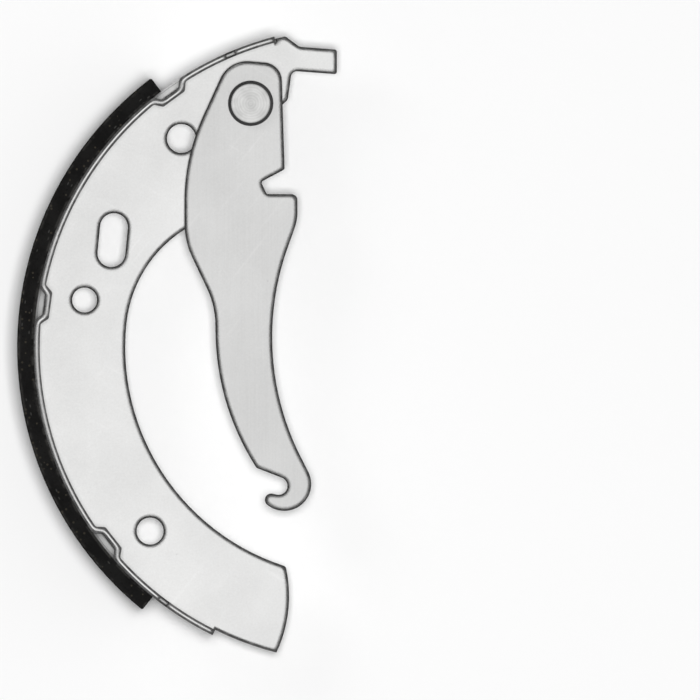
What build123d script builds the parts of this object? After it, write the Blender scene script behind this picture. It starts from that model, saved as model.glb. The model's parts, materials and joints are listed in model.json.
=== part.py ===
from build123d import *
from math import acos, atan2, cos, degrees, radians, sin, tan
import os

# Brake shoe for a drum brake, with its hand-brake lever. All sizes are in millimetres.
# The origin lies on the drum's axis, halfway through the thickness of the web.
# X points across the wheel, Y up along the shoe, and Z along the drum's axis to the lever's side.
# An angle without a note is about the drum's axis, in degrees, anticlockwise from X.

# Drum and lining
drum_radius = 101.5
lining_thickness = 5.0
lining_width = 38.0
lining_top_angle = 127.1
lining_foot_angle = 231.0
lining_edge_break = 0.4

# Rim, a rolled strip whose two ends are narrower
rim_thickness = 1.8
rim_width = 40.0
rim_top_angle = 104.5
rim_foot_angle = 243.7
rim_end_step = 3.3  # taken off each edge of the strip at its ends
rim_top_tab = 7.5  # degrees of narrow strip at the tongue end
rim_foot_tab = 9.7  # degrees of narrow strip at the foot
rim_taper_angle = 2.0  # degrees over which the strip narrows

# Nibs, half-round dimples pressed into both edges of the rim, which slide on the backing plate
nib_count = 3
nib_first_angle = 126.05
nib_pitch_angle = 46.1
nib_depth = 2.4
nib_floor_radius = 3.0
nib_mouth_radius = 5.1
nib_spread = 1.0  # by which the inner face of a nib is wider than its pocket
nib_floor_bend = 0.9  # round the inner floor
nib_root_bend = 1.0  # where a nib rises from the inner face of the rim
nib_pocket_bend = 1.5  # at the mouth of the pocket in the outer face

# Web, the flat plate inside the rim
web_thickness = 4.5
web_depth = 25.7  # from the rim to the web's inner edge
web_blend_angle = 173.8  # where the inner edge leaves the drum's circle
web_blend_lead = 13.7  # straight edge between that bend and the strut notch
plate_edge_break = 0.35

# Foot, the rounded end that bears on the anchor
foot_outer_angle = 255.6
foot_inner_angle = 252.5
foot_face_radius = 39.8
foot_corner_radius = 1.3

# Pivot of the lever: its place behind the rim's top end, and below the rim
pivot_back_angle = 8.6
pivot_inset = 14.95
pivot_edge = 7.0  # from the pivot to the web's slanted inner edge
cheek_slope = 44.3  # degrees, slope of that edge
cheek_back = 6.3  # where the edge starts, left of the pivot
neck_foot = 11.15  # right of the pivot, foot of the neck under the tongue
neck_top = 12.35  # right of the pivot, root of the tongue
neck_corner_radius = 1.8

# Tongue, which sits in the wheel cylinder's piston
tongue_tip_gap = 5.4  # from the drum's middle plane
tongue_tip_inset = 5.2  # from the web's outer circle to the tip's upper corner
tongue_height = 7.4
tongue_slope = 4.3  # degrees
tongue_length = 11.2
tongue_corner_radius = 0.7

# Shoulder between tongue and rim, which the end of the rim butts against
shoulder_rise = 1.1  # above the web's outer circle
shoulder_angle = 102.6
shoulder_corner_radius = 0.6
shoulder_gap = 0.05  # between the shoulder and the end of the rim

# Strut, a bar that joins this shoe to the other one. Web and lever each have a notch for it.
strut_drop = 24.65  # from the pivot down to the strut
web_notch_back = 17.2  # floor of the notch, left of the pivot
web_notch_floor = 3.1
web_notch_upper_slope = 9.5  # degrees
web_notch_lower_slope = 21.2  # degrees
web_notch_upper_mouth = 8.5  # left of the pivot
web_notch_lower_mouth = 6.75  # left of the pivot
web_lip_radius = 2.1
notch_corner_radius = 0.7

# Round holes for the return springs: radius, angle, and distance in from the rim
upper_hole_radius = 4.35
upper_hole_angle = 129.7
upper_hole_inset = 13.1
middle_hole_radius = 3.75
middle_hole_angle = 170.05
middle_hole_inset = 12.25
lower_hole_radius = 4.05
lower_hole_angle = 221.9
lower_hole_inset = 12.05

# Slot for the hold-down pin
slot_width = 8.35
slot_length = 16.25
slot_angle = 156.1
slot_inset = 15.1
slot_lean = 84.4  # degrees from X

# Lever. Lengths to the left and right are from the pivot, and drops are below it.
lever_thickness = 4.5
lever_gap = 0.15  # between the lever and the web
lever_head_rise = 12.6
lever_head_slope = 5.1  # degrees
lever_head_left = 6.5
lever_head_right = 9.2
lever_head_left_radius = 9.0
lever_head_right_radius = 5.5
lever_front = 10.2  # right edge above the notch
lever_back = 19.9  # left edge at its widest
lever_flank_drop = 16.2
lever_flank_radius = 62.0
lever_belly_drop = 41.4
lever_belly_radius = 24.0
lever_waist_back = 10.6
lever_waist_drop = 61.0
lever_waist_radius = 26.0
lever_waist_flat = 1.1  # from the waist's rounding to the long curve below it
lever_tail_right = 3.4  # where that curve runs into the hook's mouth
lever_tail_reach = 112.0
lever_knee = 14.05  # right edge below the notch
lever_knee_drop = 35.2
lever_knee_radius = 14.0
lever_shin_left = 0.55
lever_shin_drop = 75.85
lever_shin_radius = 80.0

# Notch for the strut in the lever's right edge
lever_notch_rise = 4.8  # above the strut's line, at the mouth
lever_notch_top = 1.05  # above the strut's line, at the back
lever_notch_back = 3.1
lever_notch_floor = 4.8
lever_notch_drop = 2.65  # below the strut's line
lever_notch_shoulder_radius = 1.8

# Hook for the cable at the lower end of the lever
hook_drop = 114.4
hook_right = 10.1
hook_radius = 8.1
hook_mouth_radius = 2.65
hook_mouth_left = 1.7  # from the hook's centre to that of the mouth
hook_mouth_drop = 0.6
hook_mouth_lean = 11.7  # degrees above level, lower side of the mouth
hook_mouth_flare = 9.6  # degrees that the mouth opens
hook_mouth_length = 14.0
hook_tip_radius = 1.9
hook_corner_radius = 1.0

# Pivot pin with a flat head, held from behind by a bowed washer and a horseshoe clip
pin_radius = 4.5
pin_clearance = 0.06  # all round, in the lever and in the web
pin_head_radius = 6.8
pin_head_height = 2.4
pin_head_chamfer = 0.9
pin_head_gap = 0.1
pin_tip = 1.6  # beyond the clip
pin_tip_chamfer = 0.6
groove_depth = 1.1
washer_radius = 8.2
washer_thickness = 0.5
washer_bow = 0.5
stack_gap = 0.05  # between washer, clip and groove
clip_thickness = 1.2
clip_wall = 3.4
clip_leg = 5.6
clip_end_radius = 1.3

# How far a cutting shape runs past what it cuts
cut_overrun = 4.0

# Share of an edge that the roundings at its two ends may take up
edge_share = 0.98

# Radii that follow from these sizes
rim_outer_radius = drum_radius - lining_thickness
web_outer_radius = rim_outer_radius - rim_thickness
web_inner_radius = web_outer_radius - web_depth


def polar(radius, angle):
    """Returns the point at a radius and an angle about the drum's axis."""
    return Vector(radius * cos(radians(angle)), radius * sin(radians(angle)))


def drum_strip(inner_radius, outer_radius, start_angle, end_angle):
    """Draws the strip between two circles about the drum's axis, from one angle to another."""
    with BuildSketch() as strip:
        with BuildLine():
            outer = CenterArc((0, 0), outer_radius, start_angle, end_angle - start_angle)
            inner = CenterArc((0, 0), inner_radius, start_angle, end_angle - start_angle)
            Line(outer @ 0, inner @ 0)
            Line(outer @ 1, inner @ 1)
        make_face()
    return strip.sketch


def rim_plane(radius, angle, height):
    """Stands a plane on the rim, with its Z axis towards the drum's axis and its Y axis along Z."""
    outward = polar(1, angle)
    along = Vector(outward.Y, -outward.X)
    return Plane(polar(radius, angle) + Vector(0, 0, height), x_dir=along, z_dir=-outward)


def rounding_reach(before, corner, after, radius):
    """Returns how far along its two edges the rounding of a corner reaches."""
    return radius * tan(radians((corner - before).get_angle(after - corner)) / 2)


def rounded_path(start, corners, end):
    """Draws a path past corners, each a point and a radius, which the edges beside it may limit."""
    points = [start, *[point for point, radius in corners], end]
    reaches = [0, *[rounding_reach(*points[i:i + 3], corners[i][1]) for i in range(len(corners))], 0]
    shares = [
        edge_share * (after - before).length / (reach_before + reach_after)
        for before, after, reach_before, reach_after
        in zip(points, points[1:], reaches, reaches[1:])
    ]
    radii = [
        radius * min(1, share_before, share_after)
        for (point, radius), share_before, share_after in zip(corners, shares, shares[1:])
    ]
    return FilletPolyline(*points, radius=radii)


def sheared_edges(plate):
    """Returns the edges round a plate's two flat faces, apart from those welded to the rim."""
    flats = plate.faces().filter_by(Axis.Z).sort_by(Axis.Z)
    edges = flats[0].edges() + flats[-1].edges()
    return [
        edge for edge in edges
        if edge.geom_type != GeomType.CIRCLE or abs(edge.radius - web_outer_radius) > shoulder_gap
    ]


def nib_form(spread, floor_bend):
    """Returns a round dimple with a flat floor, along the Z axis. It starts inside the strip."""
    slope = (nib_mouth_radius - nib_floor_radius) / nib_depth
    root = rim_thickness / 2
    with BuildPart() as form:
        with BuildSketch(Plane.XZ):
            with BuildLine():
                FilletPolyline(
                    (0, -root),
                    (nib_mouth_radius + spread + slope * root, -root),
                    (nib_floor_radius + spread, nib_depth),
                    (0, nib_depth),
                    radius=[0, floor_bend],
                )
                Line((0, nib_depth), (0, -root))
            make_face()
        revolve(axis=Axis.Z)
    return form.part


def nib_creases(strip, lowest_radius, highest_radius):
    """Returns the curves where nibs meet a face of the strip that lies between two radii."""
    curves = strip.faces().filter_by(GeomType.CONE).edges().filter_by(GeomType.BSPLINE)
    return curves.filter_by(
        lambda curve: lowest_radius < Vector((curve @ 0).X, (curve @ 0).Y).length < highest_radius
    )


# Lining, friction material bonded to the rim
with BuildPart() as lining:
    with BuildSketch():
        add(drum_strip(rim_outer_radius, drum_radius, lining_top_angle, lining_foot_angle))
    extrude(amount=lining_width / 2, both=True)
    rubbing_face = lining.faces().filter_by(GeomType.CYLINDER).sort_by(SortBy.AREA)[-1]
    chamfer(rubbing_face.edges(), lining_edge_break)

nib_angles = [nib_first_angle + nib_pitch_angle * i for i in range(nib_count)]
rim_edges = (-rim_width / 2, rim_width / 2)
rim_middle_radius = rim_outer_radius - rim_thickness / 2

# Rim, with nibs pressed inwards at both edges and its two ends narrowed
with BuildPart() as rim:
    with BuildSketch():
        add(drum_strip(web_outer_radius, rim_outer_radius, rim_top_angle, rim_foot_angle))
    extrude(amount=rim_width / 2, both=True)
    with Locations(*[rim_plane(web_outer_radius, a, h) for a in nib_angles for h in rim_edges]):
        add(nib_form(nib_spread, nib_floor_bend))
    with Locations(*[rim_plane(rim_outer_radius, a, h) for a in nib_angles for h in rim_edges]):
        add(nib_form(spread=0, floor_bend=0), mode=Mode.SUBTRACT)
    split(bisect_by=Plane.XY.offset(rim_width / 2), keep=Keep.BOTTOM)
    split(bisect_by=Plane.XY.offset(-rim_width / 2), keep=Keep.TOP)
    fillet(nib_creases(rim, 0, rim_middle_radius), nib_root_bend)
    fillet(nib_creases(rim, rim_middle_radius, drum_radius), nib_pocket_bend)
    # Each end is narrowed over a short taper. Its tab then lies clockwise at the top, where way is 1.
    for end_angle, tab, way in ((rim_top_angle, rim_top_tab, 1), (rim_foot_angle, rim_foot_tab, -1)):
        taper_middle = end_angle + way * (tab + rim_taper_angle / 2)
        taper_half = radians(rim_taper_angle / 2) * rim_outer_radius
        tab_reach = radians(tab) * rim_outer_radius + cut_overrun
        with BuildSketch(rim_plane(rim_outer_radius, taper_middle, 0)):
            with BuildLine():
                Polyline(
                    (-way * taper_half, rim_width / 2),
                    (way * taper_half, rim_width / 2 - rim_end_step),
                    (way * tab_reach, rim_width / 2 - rim_end_step),
                    (way * tab_reach, rim_width / 2),
                    close=True,
                )
            make_face()
            mirror(about=Plane.XZ)
        extrude(amount=rim_thickness + cut_overrun, both=True, mode=Mode.SUBTRACT)

# Places on the web that several outlines share, as points from the pivot
pivot = polar(web_outer_radius - pivot_inset, rim_top_angle + pivot_back_angle)
tongue_tip = Vector(-tongue_tip_gap, web_outer_radius - tongue_tip_inset) - pivot
notch_floor_top = Vector(-web_notch_back, web_notch_floor / 2 - strut_drop)
notch_floor_foot = Vector(-web_notch_back, -web_notch_floor / 2 - strut_drop)


def cheek_point(x):
    """Returns the point of the slanted edge below the pivot at a distance right of the pivot."""
    slope = radians(cheek_slope)
    return Vector(x, x * tan(slope) - pivot_edge / cos(slope))


def tongue_point(x, drop):
    """Returns a point along the tongue, at a distance right of the pivot and a drop from its top."""
    return Vector(x, tongue_tip.Y + (tongue_tip.X - x) * tan(radians(tongue_slope)) - drop)


# Web, one flat stamping
with BuildPart() as web:
    with BuildSketch(Plane.XY.offset(-web_thickness / 2)) as web_outline:
        with BuildLine():
            # Outer edge, welded inside the rim, from the shoulder to the foot
            step_angle = rim_top_angle - degrees(shoulder_gap / web_outer_radius)
            back = CenterArc((0, 0), web_outer_radius, step_angle, foot_outer_angle - step_angle)
            heel = polar(web_inner_radius, foot_inner_angle)
            RadiusArc(back @ 1, heel, -foot_face_radius)
            # Inner edge, concentric with the drum and then blended in towards the lever
            CenterArc((0, 0), web_inner_radius, foot_inner_angle, web_blend_angle - foot_inner_angle)
            # Strut notch, edge under the pivot, tongue and shoulder
            notch_top = notch_floor_top + Vector(
                web_notch_back - web_notch_upper_mouth,
                (web_notch_back - web_notch_upper_mouth) * tan(radians(web_notch_upper_slope)),
            )
            notch_lip = notch_floor_foot + Vector(
                web_notch_back - web_notch_lower_mouth,
                -(web_notch_back - web_notch_lower_mouth) * tan(radians(web_notch_lower_slope)),
            )
            # The bend's radius lets its far end run straight into the lip of the notch
            to_lip = pivot + notch_lip - polar(web_inner_radius, web_blend_angle)
            blend_radius = (to_lip.length**2 - web_blend_lead**2) / (
                -2 * to_lip.dot(polar(1, web_blend_angle))
            )
            blend_centre = polar(web_inner_radius - blend_radius, web_blend_angle)
            blend_to_lip = pivot + notch_lip - blend_centre
            blend_end_angle = degrees(
                atan2(blend_to_lip.Y, blend_to_lip.X) + acos(blend_radius / blend_to_lip.length)
            )
            blend = CenterArc(
                blend_centre, blend_radius, web_blend_angle, blend_end_angle - web_blend_angle
            )
            shoulder_radius = web_outer_radius + shoulder_rise
            shoulder_step = polar(shoulder_radius, step_angle)
            web_corners = [
                (notch_lip, web_lip_radius),
                (notch_floor_foot, notch_corner_radius),
                (notch_floor_top, notch_corner_radius),
                (notch_top, notch_corner_radius),
                (cheek_point(-cheek_back), neck_corner_radius),
                (cheek_point(neck_foot), neck_corner_radius),
                (tongue_point(neck_top, tongue_height), neck_corner_radius),
                (tongue_point(tongue_tip.X, tongue_height), tongue_corner_radius),
                (tongue_tip, tongue_corner_radius),
                (tongue_point(tongue_tip.X - tongue_length, 0), neck_corner_radius),
                (polar(shoulder_radius, shoulder_angle) - pivot, shoulder_corner_radius),
            ]
            web_corners = [(pivot + corner, radius) for corner, radius in web_corners]
            rounded_path(blend @ 1, web_corners, shoulder_step)
            Line(shoulder_step, back @ 0)
        make_face()
        fillet(web_outline.vertices().sort_by_distance(heel)[0], foot_corner_radius)
        with Locations(polar(web_outer_radius - upper_hole_inset, upper_hole_angle)):
            Circle(upper_hole_radius, mode=Mode.SUBTRACT)
        with Locations(polar(web_outer_radius - middle_hole_inset, middle_hole_angle)):
            Circle(middle_hole_radius, mode=Mode.SUBTRACT)
        with Locations(polar(web_outer_radius - lower_hole_inset, lower_hole_angle)):
            Circle(lower_hole_radius, mode=Mode.SUBTRACT)
        with Locations(polar(web_outer_radius - slot_inset, slot_angle)):
            SlotOverall(slot_length, slot_width, rotation=slot_lean, mode=Mode.SUBTRACT)
        with Locations(pivot):
            Circle(pin_radius + pin_clearance, mode=Mode.SUBTRACT)
    extrude(amount=web_thickness)
    chamfer(sheared_edges(web), plate_edge_break)

# Lever, drawn about its pivot
lever_base = web_thickness / 2 + lever_gap
hook = Vector(hook_right, -hook_drop)
shin = Vector(-lever_shin_left, -lever_shin_drop)
shin_to_hook = hook - shin
hook_touch_angle = degrees(
    atan2(-shin_to_hook.Y, -shin_to_hook.X) - acos(hook_radius / shin_to_hook.length)
)
head_tilt = tan(radians(lever_head_slope))
with BuildPart() as lever:
    with BuildSketch(Plane((pivot.X, pivot.Y, lever_base))) as lever_outline:
        with BuildLine():
            # Right edge and notch, from the hook up to the head, then down the left edge
            lever_corners = [
                (shin, lever_shin_radius),
                (Vector(lever_knee, -lever_knee_drop), lever_knee_radius),
                (Vector(lever_knee, -strut_drop - lever_notch_drop), lever_notch_shoulder_radius),
                (Vector(lever_notch_floor, -strut_drop - lever_notch_drop), notch_corner_radius),
                (Vector(lever_notch_back, -strut_drop + lever_notch_top), notch_corner_radius),
                (Vector(lever_front, -strut_drop + lever_notch_rise), notch_corner_radius),
                (
                    Vector(lever_head_right, lever_head_rise - lever_head_right * head_tilt),
                    lever_head_right_radius,
                ),
                (
                    Vector(-lever_head_left, lever_head_rise + lever_head_left * head_tilt),
                    lever_head_left_radius,
                ),
                (Vector(-lever_back, -lever_flank_drop), lever_flank_radius),
                (Vector(-lever_back, -lever_belly_drop), lever_belly_radius),
                (Vector(-lever_waist_back, -lever_waist_drop), lever_waist_radius),
            ]
            belly, waist = [corner for corner, radius in lever_corners[-2:]]
            below_waist = waist - Vector(0, lever_waist_drop)
            waist_reach = rounding_reach(belly, waist, below_waist, lever_waist_radius)
            tail_start = waist - Vector(0, waist_reach + lever_waist_flat)
            edge = rounded_path(hook + polar(hook_radius, hook_touch_angle), lever_corners, tail_start)
            tail_end = Vector(lever_tail_right, -lever_tail_reach)
            TangentArc(tail_start, tail_end, tangent=(0, -1))
            Polyline(tail_end, hook, edge @ 0)
        make_face()
        with Locations(hook):
            Circle(hook_radius)
        # Mouth of the hook, open to the left
        mouth = hook - Vector(hook_mouth_left, hook_mouth_drop)
        lower_lean = 180 - hook_mouth_lean
        upper_lean = lower_lean - hook_mouth_flare
        lower_side = mouth + polar(hook_mouth_radius, lower_lean + 90)
        upper_side = mouth + polar(hook_mouth_radius, upper_lean - 90)
        with BuildLine():
            Polyline(
                lower_side,
                lower_side + polar(hook_mouth_length, lower_lean),
                upper_side + polar(hook_mouth_length, upper_lean),
                upper_side,
                mouth,
                close=True,
            )
        make_face(mode=Mode.SUBTRACT)
        with Locations(mouth):
            Circle(hook_mouth_radius, mode=Mode.SUBTRACT)
        tip = hook + polar(hook_radius, 180 + hook_mouth_lean)
        fillet(lever_outline.vertices().sort_by_distance(tip)[0], hook_tip_radius)
        fillet(lever_outline.vertices().sort_by_distance(tail_end)[0], hook_corner_radius)
        Circle(pin_radius + pin_clearance, mode=Mode.SUBTRACT)
    extrude(amount=lever_thickness)
    chamfer(sheared_edges(lever), plate_edge_break)

# Heights of what the pin holds, from the head down to the tip
head_base = lever_base + lever_thickness + pin_head_gap
washer_top = -web_thickness / 2 - stack_gap
washer_foot = washer_top - washer_thickness - washer_bow
clip_top = washer_foot - stack_gap
clip_foot = clip_top - clip_thickness
pin_foot = clip_foot - stack_gap - pin_tip
groove_radius = pin_radius - groove_depth

# Upright plane through the pivot, with Z as its Y axis
pivot_section = Plane(pivot, x_dir=(1, 0, 0), z_dir=(0, -1, 0))

# Pin, turned in one piece
with BuildPart() as pivot_pin:
    with BuildSketch(pivot_section) as pin_profile:
        with BuildLine():
            Polyline(
                (0, head_base + pin_head_height),
                (pin_head_radius - pin_head_chamfer, head_base + pin_head_height),
                (pin_head_radius, head_base + pin_head_height - pin_head_chamfer),
                (pin_head_radius, head_base),
                (pin_radius, head_base),
                (pin_radius, clip_top + stack_gap),
                (groove_radius, clip_top + stack_gap),
                (groove_radius, clip_foot - stack_gap),
                (pin_radius, clip_foot - stack_gap),
                (pin_radius, pin_foot + pin_tip_chamfer),
                (pin_radius - pin_tip_chamfer, pin_foot),
                (0, pin_foot),
                close=True,
            )
        make_face()
    revolve(axis=Axis((pivot.X, pivot.Y, 0), (0, 0, 1)))

# Bowed washer, a thin ring bent over one line
bow_radius = (washer_radius**2 + washer_bow**2) / (2 * washer_bow)
with BuildPart() as spring_washer:
    with BuildSketch(Plane((pivot.X, pivot.Y, washer_foot))):
        Circle(washer_radius)
        Circle(pin_radius + pin_clearance, mode=Mode.SUBTRACT)
    extrude(amount=washer_bow + washer_thickness)
    with BuildSketch(pivot_section):
        with Locations((0, washer_foot + washer_bow + washer_thickness - bow_radius)):
            Circle(bow_radius)
            Circle(bow_radius - washer_thickness, mode=Mode.SUBTRACT)
    extrude(amount=washer_radius, both=True, mode=Mode.INTERSECT)

# Horseshoe clip, pushed down into the groove, with its two legs below the pin
clip_inner_radius = groove_radius + stack_gap
clip_outer_radius = clip_inner_radius + clip_wall
with BuildPart() as retaining_clip:
    with BuildSketch(Plane((pivot.X, pivot.Y, clip_foot))) as clip_outline:
        Circle(clip_outer_radius)
        with Locations((0, -clip_leg / 2)):
            Rectangle(2 * clip_outer_radius, clip_leg)
        Circle(clip_inner_radius, mode=Mode.SUBTRACT)
        with Locations((0, -clip_leg / 2)):
            Rectangle(2 * clip_inner_radius, clip_leg, mode=Mode.SUBTRACT)
        fillet(clip_outline.vertices().group_by(Axis.Y)[0], clip_end_radius)
    extrude(amount=clip_thickness)

os.makedirs("parts", exist_ok=True)

lining.part.label = "lining"
export_step(lining.part, "parts/lining.step")

rim.part.label = "rim"
export_step(rim.part, "parts/rim.step")

web.part.label = "web"
export_step(web.part, "parts/web.step")

lever.part.label = "lever"
export_step(lever.part, "parts/lever.step")

pivot_pin.part.label = "pivot_pin"
export_step(pivot_pin.part, "parts/pivot_pin.step")

spring_washer.part.label = "spring_washer"
export_step(spring_washer.part, "parts/spring_washer.step")

retaining_clip.part.label = "retaining_clip"
export_step(retaining_clip.part, "parts/retaining_clip.step")
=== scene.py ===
"""Brake shoe with its hand-brake lever: finishes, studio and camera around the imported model."""

import json
import math

import bpy
from bpy.props import FloatProperty, FloatVectorProperty, PointerProperty
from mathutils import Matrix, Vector


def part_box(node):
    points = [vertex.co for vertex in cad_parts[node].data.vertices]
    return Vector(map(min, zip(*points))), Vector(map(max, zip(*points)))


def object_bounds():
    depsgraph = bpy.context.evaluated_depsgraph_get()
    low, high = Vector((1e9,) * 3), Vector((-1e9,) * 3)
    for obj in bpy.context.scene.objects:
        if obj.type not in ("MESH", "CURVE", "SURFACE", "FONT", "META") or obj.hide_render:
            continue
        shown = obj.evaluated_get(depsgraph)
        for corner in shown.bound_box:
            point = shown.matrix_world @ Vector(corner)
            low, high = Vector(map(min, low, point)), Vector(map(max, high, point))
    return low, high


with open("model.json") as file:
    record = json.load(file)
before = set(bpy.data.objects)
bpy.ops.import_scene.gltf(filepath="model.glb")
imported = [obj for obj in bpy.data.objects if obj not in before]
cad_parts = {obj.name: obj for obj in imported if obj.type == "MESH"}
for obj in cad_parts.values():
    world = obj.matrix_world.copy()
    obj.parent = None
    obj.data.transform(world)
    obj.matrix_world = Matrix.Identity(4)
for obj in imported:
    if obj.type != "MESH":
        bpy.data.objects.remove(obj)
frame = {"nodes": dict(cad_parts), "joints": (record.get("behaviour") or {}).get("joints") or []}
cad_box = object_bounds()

bl_info = {
    "name": "Brake Shoe",
    "version": (1, 0, 0),
    "blender": (4, 5, 0),
    "location": "View3D > Sidebar > Brake Shoe",
    "description": "Finishes a drum brake shoe and its hand-brake lever, and lights it",
    "category": "Object",
}

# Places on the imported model
PIVOT = frame["joints"][0]["pos_m"]
DRUM_RADIUS = -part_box("lining")[0].x
RIM_RADIUS = -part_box("rim")[0].x
WEB_BACK, WEB_FRONT = [corner.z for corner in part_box("web")]
LEVER_BACK, LEVER_FRONT = [corner.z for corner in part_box("lever")]

# Weld between web and rim, which stops just short of the rim's ends. Angles are bearings in radians.
WELD_RADIUS = -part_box("web")[0].x
RIM_FOOT, RIM_TOP = [math.asin(corner.y / RIM_RADIUS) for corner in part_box("rim")]
WELD_END_GAP = 0.0052
WELD_MIDDLE = (RIM_TOP + RIM_FOOT) / 2
WELD_REACH = (RIM_TOP - RIM_FOOT) / 2 - WELD_END_GAP
WELD_END_FADE = 0.004

# Strip of the web beside the weld, whose outer edge doesn't show
WELD_STRIP = 0.003
WELD_STRIP_FADE = 0.001

# Edge finder: radius of its rounding for a margin of a width of 1, samples and softness
EDGE_ROUNDING = 3.5
EDGE_SAMPLES = 16
EDGE_FADE = 0.02

# Coat: darkest and lightest tone as shares of its colour, and the least share worn off along edges
DARKEST_COAT = 0.86
LIGHTEST_COAT = 1.05
LEAST_WEAR = 0.93

# Contrast of the rolled plate's grain under the coat
WEB_GRAIN = 0.1
LEVER_GRAIN = 0.5

# Heights and depths of the relief in each finish
GRIT_HEIGHT = 0.00006
GRINDING_HEIGHT = 0.00005
CHIP_HEIGHT = 0.00002
PORE_DEPTH = 0.00009
COAT_GRAIN_HEIGHT = 0.000008
DUST_HEIGHT = 0.00003
TEAR_HEIGHT = 0.00012
PUNCH_LINE_HEIGHT = 0.00002
ROLLED_LINE_HEIGHT = 0.000012
RING_HEIGHT = 0.0000025
TURNED_LINE_HEIGHT = 0.000004
CRYSTAL_HEIGHT = 0.000012
FLOOR_GRAIN_HEIGHT = 0.00001

# Edge of a speck: where it starts to fade, and how sharply cells with and without one differ
SPECK_FADE_START = 0.6
SPECK_CHANCE_FADE = 0.02

# Studio: lamps hang at these places from the middle of the view, and the floor just clears the part
SOFTBOX_PLACE = (0.0, 0.0, 3.0)
KEY_PLACE = (-0.8, 0.7, 0.9)
KEY_SIZE = 0.6
FLOOR_GAP = 0.00005


class Signal:
    """One output socket of a finish. Arithmetic on it adds Math nodes."""

    def __init__(self, finish, socket):
        self.finish = finish
        self.socket = socket

    def math(self, operation, *others):
        """Adds a Math node that has this value first."""
        values = dict(enumerate((self, *others)))
        return self.finish.node("ShaderNodeMath", {"operation": operation}, values)

    def __add__(self, other):
        return self.math("ADD", other)

    def __radd__(self, other):
        return self.math("ADD", other)

    def __sub__(self, other):
        return self.math("SUBTRACT", other)

    def __rsub__(self, other):
        return self.math("MULTIPLY", -1.0).math("ADD", other)

    def __mul__(self, other):
        return self.math("MULTIPLY", other)

    def __rmul__(self, other):
        return self.math("MULTIPLY", other)

    def __neg__(self):
        return self.math("MULTIPLY", -1.0)

    def __pow__(self, other):
        return self.math("POWER", other)

    def size(self):
        """Returns the value without its sign."""
        return self.math("ABSOLUTE")

    def wave(self, length):
        """Returns a wave between -1 and 1 that repeats over a length."""
        return (self * (2 * math.pi / length)).math("SINE")

    def step(self, low, high):
        """Returns 0 below the low value and 1 above the high one, with a soft change between."""
        return self.finish.node(
            "ShaderNodeMapRange",
            {"interpolation_type": "SMOOTHSTEP"},
            {"Value": self, "From Min": low, "From Max": high},
        )


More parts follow.
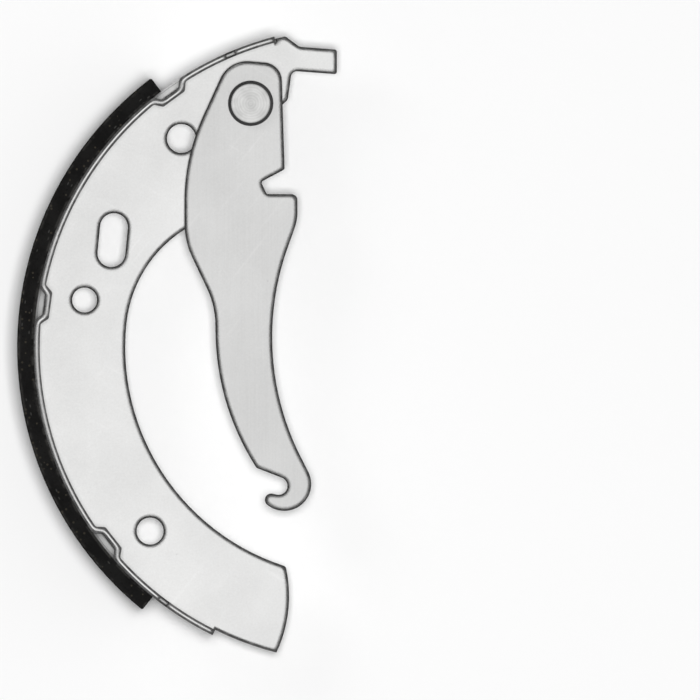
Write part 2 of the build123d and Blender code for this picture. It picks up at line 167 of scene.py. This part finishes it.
class Finish:
    """Builds the nodes of one material. Places and sizes are in metres, in the piece's own frame."""

    def __init__(self, name):
        self.material = bpy.data.materials.new(name)
        self.material.use_nodes = True
        self.tree = self.material.node_tree
        self.tree.nodes.clear()
        self.place, facing = self.node("ShaderNodeTexCoord", output=("Object", "Normal"))
        self.x, self.y, self.z = self.split(self.place)
        self.flat = self.split(facing)[2].size()

    def node(self, kind, settings=None, inputs=None, output=0):
        """Adds a node, sets its settings and then its sockets, and returns one output or several."""
        new = self.tree.nodes.new(kind)
        for name, value in (settings or {}).items():
            setattr(new, name, value)
        for name, value in (inputs or {}).items():
            socket = new.inputs[name]
            if isinstance(value, Signal):
                self.tree.links.new(value.socket, socket)
            elif socket.type == "RGBA":
                socket.default_value = (*value, 1.0)
            else:
                socket.default_value = value
        if isinstance(output, tuple):
            return [Signal(self, new.outputs[name]) for name in output]
        return Signal(self, new.outputs[output])

    def split(self, vector):
        """Returns the three parts of a vector."""
        return self.node("ShaderNodeSeparateXYZ", inputs={0: vector}, output=("X", "Y", "Z"))

    def join(self, x, y, z):
        """Returns the vector of three values."""
        return self.node("ShaderNodeCombineXYZ", inputs={"X": x, "Y": y, "Z": z})

    def stretch(self, shares, place=None):
        """Returns the place with each of its parts multiplied by a share."""
        inputs = {0: place or self.place, 1: shares}
        return self.node("ShaderNodeVectorMath", {"operation": "MULTIPLY"}, inputs)

    def turn(self, angle):
        """Returns the place turned about the Z axis."""
        inputs = {"Vector": self.place, "Angle": angle}
        return self.node("ShaderNodeVectorRotate", {"rotation_type": "Z_AXIS"}, inputs)

    def tint(self, share, first, second):
        """Returns the first colour where the share is 0 and the second where it is 1."""
        inputs = {0: share, 6: first, 7: second}
        return self.node("ShaderNodeMix", {"data_type": "RGBA"}, inputs, 2)

    def noise(self, size, detail=2.0, place=None):
        """Returns soft noise about 0.5, with features of a size."""
        inputs = {"Vector": place or self.place, "Scale": 1 / size, "Detail": detail}
        return self.node("ShaderNodeTexNoise", inputs=inputs)

    def specks(self, size, share, reach, place=None):
        """Returns round specks, one to a cell of a size, in a share of the cells."""
        inputs = {"Vector": place or self.place, "Scale": 1 / size}
        distance, colour = self.node("ShaderNodeTexVoronoi", None, inputs, ("Distance", "Color"))
        chance = self.split(colour)[0]
        speck = 1 - distance.step(reach * SPECK_FADE_START, reach)
        return speck * (1 - chance.step(share, share + SPECK_CHANCE_FADE))

    def radius(self, centre=(0.0, 0.0)):
        """Returns the distance from an upright axis."""
        across = self.x - centre[0]
        up = self.y - centre[1]
        return (across * across + up * up) ** 0.5

    def bearing(self):
        """Returns the angle about the drum's axis, 0 on the -X side and growing towards the tongue."""
        return self.y.math("ARCTAN2", -self.x)

    def track(self):
        """Returns the place unrolled about the drum's axis: round it, out from it and along it."""
        return self.join(self.bearing() * DRUM_RADIUS, self.radius(), self.z)

    def slanted(self, low):
        """Returns 1 on chamfers, which face neither along the Z axis nor across it."""
        return self.flat.step(low, 0.6) * (1 - self.flat.step(0.86, 0.97))

    def edges(self, width, level=0.98):
        """Returns 1 within about a width of edges and 0 away from them. A level near 1 widens it."""
        inputs = {"Radius": width * EDGE_ROUNDING}
        rounded = self.node("ShaderNodeBevel", {"samples": EDGE_SAMPLES}, inputs)
        surface = self.node("ShaderNodeNewGeometry", output="Normal")
        inputs = {0: rounded, 1: surface}
        along = self.node("ShaderNodeVectorMath", {"operation": "DOT_PRODUCT"}, inputs, "Value")
        return 1 - along.step(level - EDGE_FADE, level)

    def complete(self, colour, roughness, metallic, height, gloss=0.5):
        """Adds the shader. The height is in metres above the surface."""
        bump = self.node("ShaderNodeBump", None, {"Height": height, "Distance": 1.0})
        inputs = {
            "Base Color": colour,
            "Roughness": roughness,
            "Metallic": metallic,
            "Normal": bump,
            "Specular IOR Level": gloss,
        }
        shader = self.node("ShaderNodeBsdfPrincipled", None, inputs)
        self.node("ShaderNodeOutputMaterial", None, {"Surface": shader}, ())
        return self.material


def dress(material, *names):
    """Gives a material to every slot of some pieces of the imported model."""
    for name in names:
        piece = frame["nodes"][name]
        for slot in piece.material_slots:
            slot.material = material


def toned(colour, share):
    """Returns a colour made darker or lighter by a share."""
    return [min(1.0, channel * share) for channel in colour]


def lining_finish(settings):
    """Returns the friction material: dark compound with chips and pores, ground on its face."""
    finish = Finish("friction_compound")
    track = finish.track()
    ground = 1 - finish.flat.step(0.4, 0.8)

    # Compound: clouds, grit, a few metal chips, pale fibres and pores
    cloud = finish.noise(size=0.009, detail=3.0, place=track).step(0.3, 0.7)
    grit = finish.noise(size=0.0006, detail=3.0)
    chips = finish.specks(settings.chip_size * 2.2, settings.chip_share, reach=0.34)
    drawn_out = finish.stretch((0.35, 1.0, 1.6), track)
    fibres = finish.specks(settings.chip_size * 1.6, settings.chip_share, 0.3, drawn_out)
    pores = finish.specks(size=0.0011, share=0.35, reach=0.26)

    # Grinding lines run round the rubbing face, and saw marks across the sides
    lines = finish.noise(size=0.00045, detail=2.0, place=finish.stretch((0.02, 0.3, 1.0), track))
    sawing = finish.noise(size=0.0008, detail=2.0, place=finish.stretch((1.0, 0.06, 0.3), track))
    marks = ground * lines + (1 - ground) * sawing
    bands = finish.noise(size=0.002, detail=3.0, place=finish.stretch((0.012, 0.3, 1.0), track))
    freshly_ground = ground * (0.2 + lines.step(0.35, 0.65) * 0.35 + bands.step(0.35, 0.65) * 0.45)

    tone = (cloud * 0.45 + grit * 0.55).step(0.3, 0.7)
    colour = finish.tint(tone, toned(settings.colour, 0.62), settings.colour)
    colour = finish.tint(freshly_ground, colour, settings.ground_colour)
    colour = finish.tint(fibres * 0.5, colour, settings.fibre_colour)
    colour = finish.tint(chips * 0.4, colour, settings.chip_colour)
    # Pores are painted darker than the compound: painted shade inside them, on top of their sunk bump
    # depth
    colour = finish.tint(pores * 0.6, colour, toned(settings.colour, 0.3))
    dusty = finish.noise(size=0.0025, detail=3.0, place=track).step(0.42, 0.62)
    scuff = finish.edges(width=0.0006) * dusty
    colour = finish.tint(scuff * 0.35, colour, settings.scuff_colour)

    roughness = 0.95 - chips * 0.3 - ground * marks.step(0.5, 0.75) * 0.12
    height = grit * GRIT_HEIGHT + marks * GRINDING_HEIGHT + chips * CHIP_HEIGHT - pores * PORE_DEPTH
    return finish.complete(colour, roughness, chips * 0.4, height, gloss=0.08)


def hairlines(finish, angle, size):
    """Returns sparse fine scratches that run at an angle."""
    along = finish.stretch((0.03, 1.0, 1.0), finish.turn(angle))
    return finish.noise(size=size, detail=1.0, place=along).step(0.70, 0.76)


def paint(finish, settings):
    """Returns the tone, roughness and height of a thin satin coat over steel."""
    cloud = finish.noise(size=0.022, detail=3.0).step(0.3, 0.7)
    mottle = finish.noise(size=0.0028, detail=4.0).step(0.35, 0.65)
    grain = finish.noise(size=0.0006, detail=3.0)
    peel = finish.noise(size=settings.peel_size, detail=2.0)
    dust = finish.specks(size=0.0045, share=0.2, reach=0.06)
    hairs = hairlines(finish, 0.5, 0.0007) + hairlines(finish, -0.9, 0.0009)
    tone = 0.5 + (cloud - 0.5) * 0.4 + (mottle - 0.5) * 0.3 + (grain - 0.5) * 0.9
    tone = tone + hairs * 0.08 - dust * 0.5
    roughness = settings.roughness + (mottle - 0.5) * 0.08 + (grain - 0.5) * 0.1 - hairs * 0.04
    height = peel * settings.peel_height + grain * COAT_GRAIN_HEIGHT + dust * DUST_HEIGHT
    return tone, roughness, height


def sheared(finish, back, front):
    """Returns how burnished and how torn a punched wall is, from its two flat sides."""
    wall = 1 - finish.flat.step(0.3, 0.6)
    through = (finish.z - back) * (1 / (front - back))
    ragged = through + (finish.noise(size=0.003, detail=3.0) - 0.5) * 0.25
    torn = wall * (1 - ragged.step(0.55, 0.66))
    return wall - torn, torn


def beside_weld(finish):
    """Returns 1 along the web's outer edge where the rim is welded on, which hides that edge."""
    start = WELD_RADIUS - WELD_STRIP
    ring = finish.radius().step(start, start + WELD_STRIP_FADE)
    reach = (finish.bearing() - WELD_MIDDLE).size()
    return ring * (1 - reach.step(WELD_REACH - WELD_END_FADE, WELD_REACH))


def edge_wear(finish):
    """Returns the share of the coat that is worn off along edges, which varies in patches."""
    patches = finish.noise(size=0.0022, detail=4.0).step(0.3, 0.55)
    return LEAST_WEAR + patches * (1 - LEAST_WEAR)


def coat_colour(finish, colour, tone, worn, edge_colour):
    """Returns the coat's colour between its two tones, and the edges' colour where it is worn."""
    coat = finish.tint(tone, toned(colour, DARKEST_COAT), toned(colour, LIGHTEST_COAT))
    return finish.tint(worn, coat, edge_colour)


def plate_finish(name, colour, settings, back, front, grain_contrast):
    """Returns coated stamped plate, with punched walls and edges worn dark."""
    finish = Finish(name)
    tone, roughness, height = paint(finish, settings)
    burnished, torn = sheared(finish, back, front)
    grain = finish.noise(size=0.0005, detail=2.0, place=finish.stretch((1.0, 0.02, 1.0)))
    draw_lines = finish.noise(size=0.0003, detail=2.0, place=finish.stretch((1.0, 1.0, 0.03)))
    tear = finish.noise(size=0.0004, detail=4.0)
    tone = tone + (grain - 0.5) * grain_contrast
    tone = tone - torn * tear.step(0.4, 0.7) * 0.8 - burnished * 0.25

    # The coat is worn on the broken edges and over a margin beside them
    margin = finish.edges(settings.edge_width) * (1 - beside_weld(finish))
    worn = (finish.slanted(low=0.45) + margin).math("MINIMUM", 1.0) * edge_wear(finish)
    surface = coat_colour(finish, colour, tone, worn, settings.edge_colour)
    height = height + torn * tear * TEAR_HEIGHT + burnished * draw_lines * PUNCH_LINE_HEIGHT
    roughness = roughness + torn * 0.2 - burnished * 0.06 + worn * 0.04
    return finish.complete(surface, roughness, worn * 0.25, height)


def rim_finish(settings):
    """Returns coated rolled strip, with drawing lines along it and edges worn dark."""
    finish = Finish("rim_coat")
    tone, roughness, height = paint(finish, settings)
    drawn_out = finish.stretch((0.015, 0.4, 1.0), finish.track())
    lines = finish.noise(size=0.0004, detail=2.0, place=drawn_out)
    tone = tone + (lines - 0.5) * 0.4
    worn = finish.edges(settings.edge_width, level=0.99) * edge_wear(finish)
    surface = coat_colour(finish, settings.colour, tone, worn, settings.edge_colour)
    height = height + lines * ROLLED_LINE_HEIGHT
    return finish.complete(surface, roughness + worn * 0.04, worn * 0.25, height)


def pin_finish(settings):
    """Returns bright turned steel, with the tool's rings about the pivot."""
    finish = Finish("turned_steel")
    radius = finish.radius(PIVOT)
    wander = finish.noise(size=0.004, detail=2.0) * settings.ring_pitch * 1.5
    across = finish.flat * radius + (1 - finish.flat) * finish.z + wander
    rings = across.wave(settings.ring_pitch)
    fine = finish.noise(size=0.00012, detail=2.0, place=finish.join(across, 0.0, 0.0))
    stain = finish.noise(size=0.003, detail=3.0).step(0.35, 0.7)
    tone = 0.5 + rings * 0.3 + (fine - 0.5) * 0.8 + (stain - 0.5) * 0.15
    surface = finish.tint(tone, toned(settings.pin_colour, 0.84), settings.pin_colour)
    oily = (finish.slanted(low=0.4) + finish.edges(width=0.0004) * 0.8).math("MINIMUM", 1.0)
    surface = finish.tint(oily, surface, settings.chamfer_colour)
    roughness = 0.55 + (stain - 0.5) * 0.04 + (fine - 0.5) * 0.1
    height = rings * RING_HEIGHT + fine * TURNED_LINE_HEIGHT
    return finish.complete(surface, roughness, metallic=0.6, height=height)


def spring_finish(settings):
    """Returns hard spring steel with a grey phosphate skin."""
    finish = Finish("spring_steel")
    crystals = finish.noise(size=0.00018, detail=3.0)
    cloud = finish.noise(size=0.003, detail=3.0).step(0.35, 0.65)
    margin = finish.edges(width=0.00025)
    dark = toned(settings.spring_colour, 0.6)
    surface = finish.tint(crystals * 0.6 + cloud * 0.3, dark, settings.spring_colour)
    surface = finish.tint(margin * 0.5, surface, settings.pin_colour)
    roughness = 0.5 + cloud * 0.1 - margin * 0.15
    return finish.complete(surface, roughness, metallic=0.6, height=crystals * CRYSTAL_HEIGHT)


def floor_finish(settings):
    """Returns the pale matt floor."""
    finish = Finish("studio_floor")
    cloud = finish.noise(size=0.4, detail=2.0).step(0.3, 0.7)
    surface = finish.tint(cloud, toned(settings.floor_colour, 0.985), settings.floor_colour)
    grain = finish.noise(size=0.0015, detail=2.0)
    height = grain * FLOOR_GRAIN_HEIGHT
    return finish.complete(surface, roughness=0.85, metallic=0.0, height=height)


def lay_floor(studio):
    """Adds the floor just under the part."""
    half = studio.floor_size / 2
    height = cad_box[0].z - FLOOR_GAP
    ends = [(-half, -half), (half, -half), (half, half), (-half, half)]
    corners = [(x, y, height) for x, y in ends]
    mesh = bpy.data.meshes.new("floor")
    mesh.from_pydata(corners, [], [(0, 1, 2, 3)])
    mesh.materials.append(floor_finish(studio))
    floor = bpy.data.objects.new("floor", mesh)
    bpy.context.scene.collection.objects.link(floor)


def hang_lamp(name, place, target, size, power):
    """Adds a square area lamp that points at a target."""
    lamp = bpy.data.lights.new(name, "AREA")
    lamp.shape = "SQUARE"
    lamp.size = size
    lamp.energy = power
    holder = bpy.data.objects.new(name, lamp)
    holder.location = place
    holder.rotation_euler = (target - place).to_track_quat("-Z", "Y").to_euler()
    bpy.context.scene.collection.objects.link(holder)


def light_room(scene, studio):
    """Sets the even light from all round."""
    world = bpy.data.worlds.new("room")
    world.use_nodes = True
    background = world.node_tree.nodes["Background"]
    background.inputs["Color"].default_value = (1.0, 1.0, 1.0, 1.0)
    background.inputs["Strength"].default_value = studio.room_light
    scene.world = world


def place_camera(scene, studio):
    """Sets the camera straight above the part, with no perspective, as in the drawing."""
    camera = bpy.data.cameras.new("camera")
    camera.type = "ORTHO"
    camera.ortho_scale = studio.view_width
    camera.clip_start = 0.01
    camera.clip_end = 5.0
    holder = bpy.data.objects.new("camera", camera)
    holder.location = (*studio.view_centre, studio.view_height)
    scene.collection.objects.link(holder)
    scene.camera = holder


class LiningSettings(bpy.types.PropertyGroup):
    """Colours and grain of the friction material."""

    colour: FloatVectorProperty(
        name="Compound", description="Lighter tone of the friction material",
        subtype="COLOR", min=0.0, max=1.0, default=(0.0100, 0.0097, 0.0095),
    )
    ground_colour: FloatVectorProperty(
        name="Ground face", description="Colour of the rubbing face along its grinding lines",
        subtype="COLOR", min=0.0, max=1.0, default=(0.034, 0.033, 0.031),
    )
    chip_colour: FloatVectorProperty(
        name="Chips", description="Colour of the metal chips in it",
        subtype="COLOR", min=0.0, max=1.0, default=(0.16, 0.14, 0.10),
    )
    fibre_colour: FloatVectorProperty(
        name="Fibres", description="Colour of the pale fibres in it",
        subtype="COLOR", min=0.0, max=1.0, default=(0.07, 0.07, 0.066),
    )
    scuff_colour: FloatVectorProperty(
        name="Scuffs", description="Colour of dusty scuffs along its edges",
        subtype="COLOR", min=0.0, max=1.0, default=(0.07, 0.068, 0.064),
    )
    chip_size: FloatProperty(
        name="Chip size", description="Length of the largest chips",
        subtype="DISTANCE", unit="LENGTH", min=0.0001, default=0.0005,
    )
    chip_share: FloatProperty(
        name="Chip share", description="How many cells of the compound hold a chip",
        subtype="FACTOR", min=0.0, max=1.0, default=0.14,
    )


class PlateSettings(bpy.types.PropertyGroup):
    """Coat of the web, rim and lever."""

    colour: FloatVectorProperty(
        name="Shoe coat", description="Colour of the web and the rim",
        subtype="COLOR", min=0.0, max=1.0, default=(0.70, 0.70, 0.695),
    )
    lever_colour: FloatVectorProperty(
        name="Lever coat", description="Colour of the hand-brake lever",
        subtype="COLOR", min=0.0, max=1.0, default=(0.585, 0.585, 0.58),
    )
    edge_colour: FloatVectorProperty(
        name="Edges", description="Colour of edges where the coat is thin",
        subtype="COLOR", min=0.0, max=1.0, default=(0.022, 0.0215, 0.021),
    )
    edge_width: FloatProperty(
        name="Edge width", description="Width of the dark margin along an edge",
        subtype="DISTANCE", unit="LENGTH", min=0.0001, default=0.00075,
    )
    roughness: FloatProperty(
        name="Roughness", description="Roughness of the satin coat",
        subtype="FACTOR", min=0.0, max=1.0, default=0.56,
    )
    peel_size: FloatProperty(
        name="Peel size", description="Size of the ripples in the coat",
        subtype="DISTANCE", unit="LENGTH", min=0.0001, default=0.0013,
    )
    peel_height: FloatProperty(
        name="Peel height", description="Height of the ripples in the coat",
        subtype="DISTANCE", unit="LENGTH", min=0.0, default=0.00002,
    )


class PinSettings(bpy.types.PropertyGroup):
    """Steel of the pivot pin, its washer and its clip."""

    pin_colour: FloatVectorProperty(
        name="Pin", description="Colour of the turned pin",
        subtype="COLOR", min=0.0, max=1.0, default=(0.34, 0.34, 0.336),
    )
    chamfer_colour: FloatVectorProperty(
        name="Pin edge", description="Colour of the oily edge of the pin's head",
        subtype="COLOR", min=0.0, max=1.0, default=(0.06, 0.06, 0.06),
    )
    spring_colour: FloatVectorProperty(
        name="Spring steel", description="Colour of the washer and the clip",
        subtype="COLOR", min=0.0, max=1.0, default=(0.20, 0.20, 0.20),
    )
    ring_pitch: FloatProperty(
        name="Ring pitch", description="Distance between the rings that turning leaves",
        subtype="DISTANCE", unit="LENGTH", min=0.00005, default=0.0008,
    )


class StudioSettings(bpy.types.PropertyGroup):
    """Floor, lamps and camera."""

    floor_colour: FloatVectorProperty(
        name="Floor", description="Colour of the floor",
        subtype="COLOR", min=0.0, max=1.0, default=(0.93, 0.93, 0.93),
    )
    floor_size: FloatProperty(
        name="Floor size", description="Width of the floor",
        subtype="DISTANCE", unit="LENGTH", min=0.1, default=8.0,
    )
    view_centre: FloatVectorProperty(
        name="View centre", description="Point that the camera looks down on",
        subtype="XYZ", unit="LENGTH", size=2, default=(-0.00144, -0.00078),
    )
    view_width: FloatProperty(
        name="View width", description="Width of what the camera takes in",
        subtype="DISTANCE", unit="LENGTH", min=0.01, default=0.2104,
    )
    view_height: FloatProperty(
        name="View height", description="Height of the camera above the drum's middle plane",
        subtype="DISTANCE", unit="LENGTH", min=0.05, default=0.5,
    )
    softbox_size: FloatProperty(
        name="Softbox size", description="Width of the lamp overhead",
        subtype="DISTANCE", unit="LENGTH", min=0.05, default=0.45,
    )
    softbox_power: FloatProperty(
        name="Softbox power", description="Power of the lamp overhead",
        subtype="POWER", unit="POWER", min=0.0, default=71.0,
    )
    key_power: FloatProperty(
        name="Key power", description="Power of the lamp at the upper left",
        subtype="POWER", unit="POWER", min=0.0, default=1.6,
    )
    room_light: FloatProperty(
        name="Room light", description="Strength of the light from all round",
        min=0.0, default=0.22,
    )


class BrakeShoeSettings(bpy.types.PropertyGroup):
    """All settings of the brake shoe."""

    lining: PointerProperty(type=LiningSettings, name="Lining", description="Friction material")
    plates: PointerProperty(type=PlateSettings, name="Plates", description="Web, rim and lever")
    pin: PointerProperty(type=PinSettings, name="Pin", description="Pin, washer and clip")
    studio: PointerProperty(type=StudioSettings, name="Studio", description="Floor and lamps")


class BRAKESHOE_OT_lining(bpy.types.Operator):
    """Finish the lining as ground friction material"""

    bl_idname = "brake_shoe.lining"
    bl_label = "Finish Lining"

    def execute(self, context):
        dress(lining_finish(context.scene.brake_shoe.lining), "lining")
        return {"FINISHED"}


class BRAKESHOE_OT_shoe(bpy.types.Operator):
    """Coat the web and the rim"""

    bl_idname = "brake_shoe.shoe"
    bl_label = "Coat Web and Rim"

    def execute(self, context):
        plates = context.scene.brake_shoe.plates
        web = plate_finish("web_coat", plates.colour, plates, WEB_BACK, WEB_FRONT, WEB_GRAIN)
        dress(web, "web")
        dress(rim_finish(plates), "rim")
        return {"FINISHED"}


class BRAKESHOE_OT_lever(bpy.types.Operator):
    """Coat the hand-brake lever, over the grain of its rolled plate"""

    bl_idname = "brake_shoe.lever"
    bl_label = "Coat Lever"

    def execute(self, context):
        plates = context.scene.brake_shoe.plates
        colour = plates.lever_colour
        lever = plate_finish("lever_coat", colour, plates, LEVER_BACK, LEVER_FRONT, LEVER_GRAIN)
        dress(lever, "lever")
        return {"FINISHED"}


class BRAKESHOE_OT_pin(bpy.types.Operator):
    """Finish the pivot pin, its washer and its clip as bare steel"""

    bl_idname = "brake_shoe.pin"
    bl_label = "Finish Pin, Washer and Clip"

    def execute(self, context):
        pin = context.scene.brake_shoe.pin
        dress(pin_finish(pin), "pivot_pin")
        dress(spring_finish(pin), "spring_washer", "retaining_clip")
        return {"FINISHED"}


class BRAKESHOE_OT_studio(bpy.types.Operator):
    """Lay the floor, hang the lamps and set the camera"""

    bl_idname = "brake_shoe.studio"
    bl_label = "Set Up Studio"

    def execute(self, context):
        studio = context.scene.brake_shoe.studio
        scene = context.scene
        lay_floor(studio)
        middle = Vector((*studio.view_centre, 0.0))
        softbox_place = middle + Vector(SOFTBOX_PLACE)
        hang_lamp("softbox", softbox_place, middle, studio.softbox_size, studio.softbox_power)
        hang_lamp("key_lamp", middle + Vector(KEY_PLACE), middle, KEY_SIZE, studio.key_power)
        light_room(scene, studio)
        place_camera(scene, studio)
        scene.view_settings.view_transform = "Standard"
        return {"FINISHED"}


class VIEW3D_PT_brake_shoe(bpy.types.Panel):
    """Steps and settings of the brake shoe"""

    bl_label = "Brake Shoe"
    bl_space_type = "VIEW_3D"
    bl_region_type = "UI"
    bl_category = "Brake Shoe"

    def draw(self, context):
        for group, steps in STEPS:
            box = self.layout.box()
            for step in steps:
                box.operator(step.bl_idname)
            settings = getattr(context.scene.brake_shoe, group)
            for name in settings.bl_rna.properties.keys():
                if name not in ("rna_type", "name"):
                    box.prop(settings, name)


# Each group of settings, with the steps that use it
STEPS = (
    ("lining", (BRAKESHOE_OT_lining,)),
    ("plates", (BRAKESHOE_OT_shoe, BRAKESHOE_OT_lever)),
    ("pin", (BRAKESHOE_OT_pin,)),
    ("studio", (BRAKESHOE_OT_studio,)),
)
CLASSES = (
    LiningSettings,
    PlateSettings,
    PinSettings,
    StudioSettings,
    BrakeShoeSettings,
    *[step for group, steps in STEPS for step in steps],
    VIEW3D_PT_brake_shoe,
)


def register():
    """Registers the classes and the settings."""
    for cls in CLASSES:
        bpy.utils.register_class(cls)
    bpy.types.Scene.brake_shoe = PointerProperty(type=BrakeShoeSettings)


def unregister():
    """Removes the settings and the classes."""
    del bpy.types.Scene.brake_shoe
    for cls in reversed(CLASSES):
        bpy.utils.unregister_class(cls)


def main():
    """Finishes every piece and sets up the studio."""
    register()
    bpy.ops.brake_shoe.lining()
    bpy.ops.brake_shoe.shoe()
    bpy.ops.brake_shoe.lever()
    bpy.ops.brake_shoe.pin()
    bpy.ops.brake_shoe.studio()


if __name__ == "__main__":
    main()
